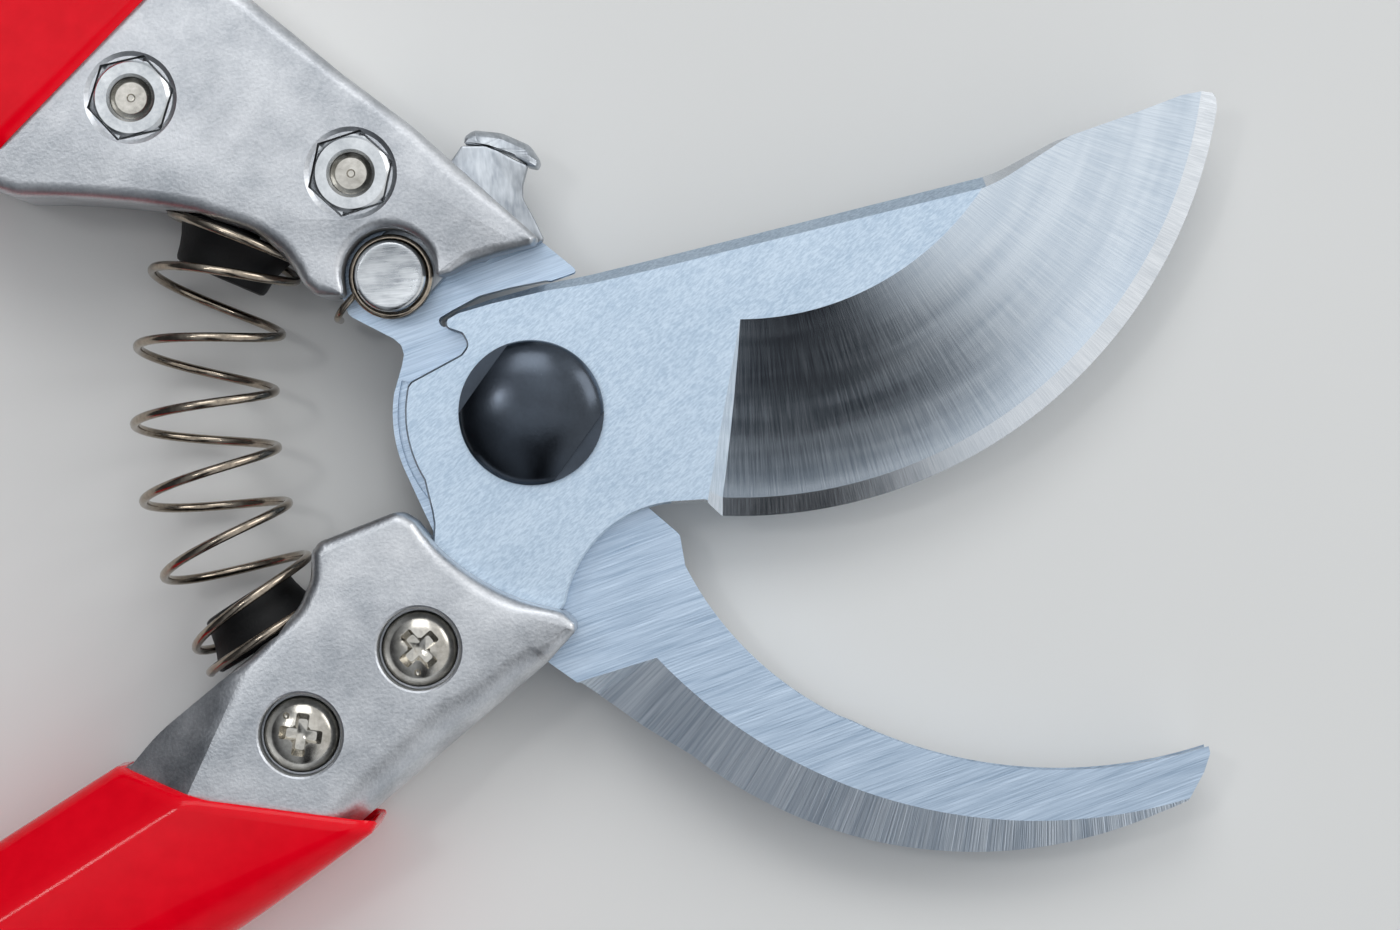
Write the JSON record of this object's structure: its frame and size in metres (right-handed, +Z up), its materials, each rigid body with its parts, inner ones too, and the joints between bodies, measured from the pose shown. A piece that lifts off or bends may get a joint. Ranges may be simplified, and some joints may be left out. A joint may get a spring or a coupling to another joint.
{
  "type": "pruning shears",
  "caption": "Bypass pruning shears with curved cutting blade, hook blade, coil return spring, thumb lock lever and dipped grips.",
  "frame": {"origin": "on the pivot axis, at the face under the pivot nut that rests on the table; the shears lie flat on their side, fully open", "axes": "+X towards the jaws, +Y towards the hook-side handle's outside, +Z up along the pivot axis towards the bolt's domed head"},
  "size_m": [0.1993, 0.1763, 0.0169],
  "materials": {
    "blade_steel": "satin flat with a polished hollow grind and a ground edge",
    "hook_steel": "brushed along the plate, ground across the bevel",
    "lever_steel": "brushed",
    "cast_handle": "tumbled matte casting",
    "grip_vinyl": "dipped, glossy",
    "screw_nickel": "nickel plated",
    "nut_steel": "bright turned",
    "pin_steel": "cross brushed face, bright rim",
    "washer_steel": "plain",
    "black_oxide_steel": "black oxide, satin",
    "spring_wire": "drawn wire, warm nickel plating",
    "seat_rubber": "moulded, satin"
  },
  "bodies": {
    "hook_side": {"hook_blade": "hook_steel", "hook_handle": "cast_handle", "hook_grip": "grip_vinyl", "hook_screw_front": "screw_nickel", "hook_screw_rear": "screw_nickel", "hook_nut_front": "nut_steel", "hook_nut_rear": "nut_steel", "hook_spring_seat": "seat_rubber", "pivot_bolt": "black_oxide_steel", "pivot_washer": "washer_steel", "pivot_nut": "black_oxide_steel", "lock_pin": "pin_steel", "lock_clip": "washer_steel", "lock_spring": "spring_wire"},
    "blade_side": {"cutting_blade": "blade_steel", "blade_handle": "cast_handle", "blade_grip": "grip_vinyl", "blade_screw_front": "screw_nickel", "blade_screw_rear": "screw_nickel", "blade_nut_front": "nut_steel", "blade_nut_rear": "nut_steel", "blade_spring_seat": "seat_rubber", "main_spring": "spring_wire"},
    "lock": {"lock_lever": "lever_steel"}
  },
  "joints": [
    {"name": "pivot", "type": "hinge", "parent": "hook_side", "child": "blade_side", "pos_m": [0, 0, 0.0097], "axis": [0, 0, -1], "range_deg": [0, 55], "stiffness_Nm_per_rad": 0.6, "springref_deg": -17.19, "deforming": ["main_spring"]},
    {"name": "lock_pivot", "type": "hinge", "parent": "hook_side", "child": "lock", "pos_m": [-0.0135, 0.0131, 0.0092], "axis": [0, 0, -1], "range_deg": [0, 12], "stiffness_Nm_per_rad": 0.02, "springref_deg": -17.19}
  ]
}
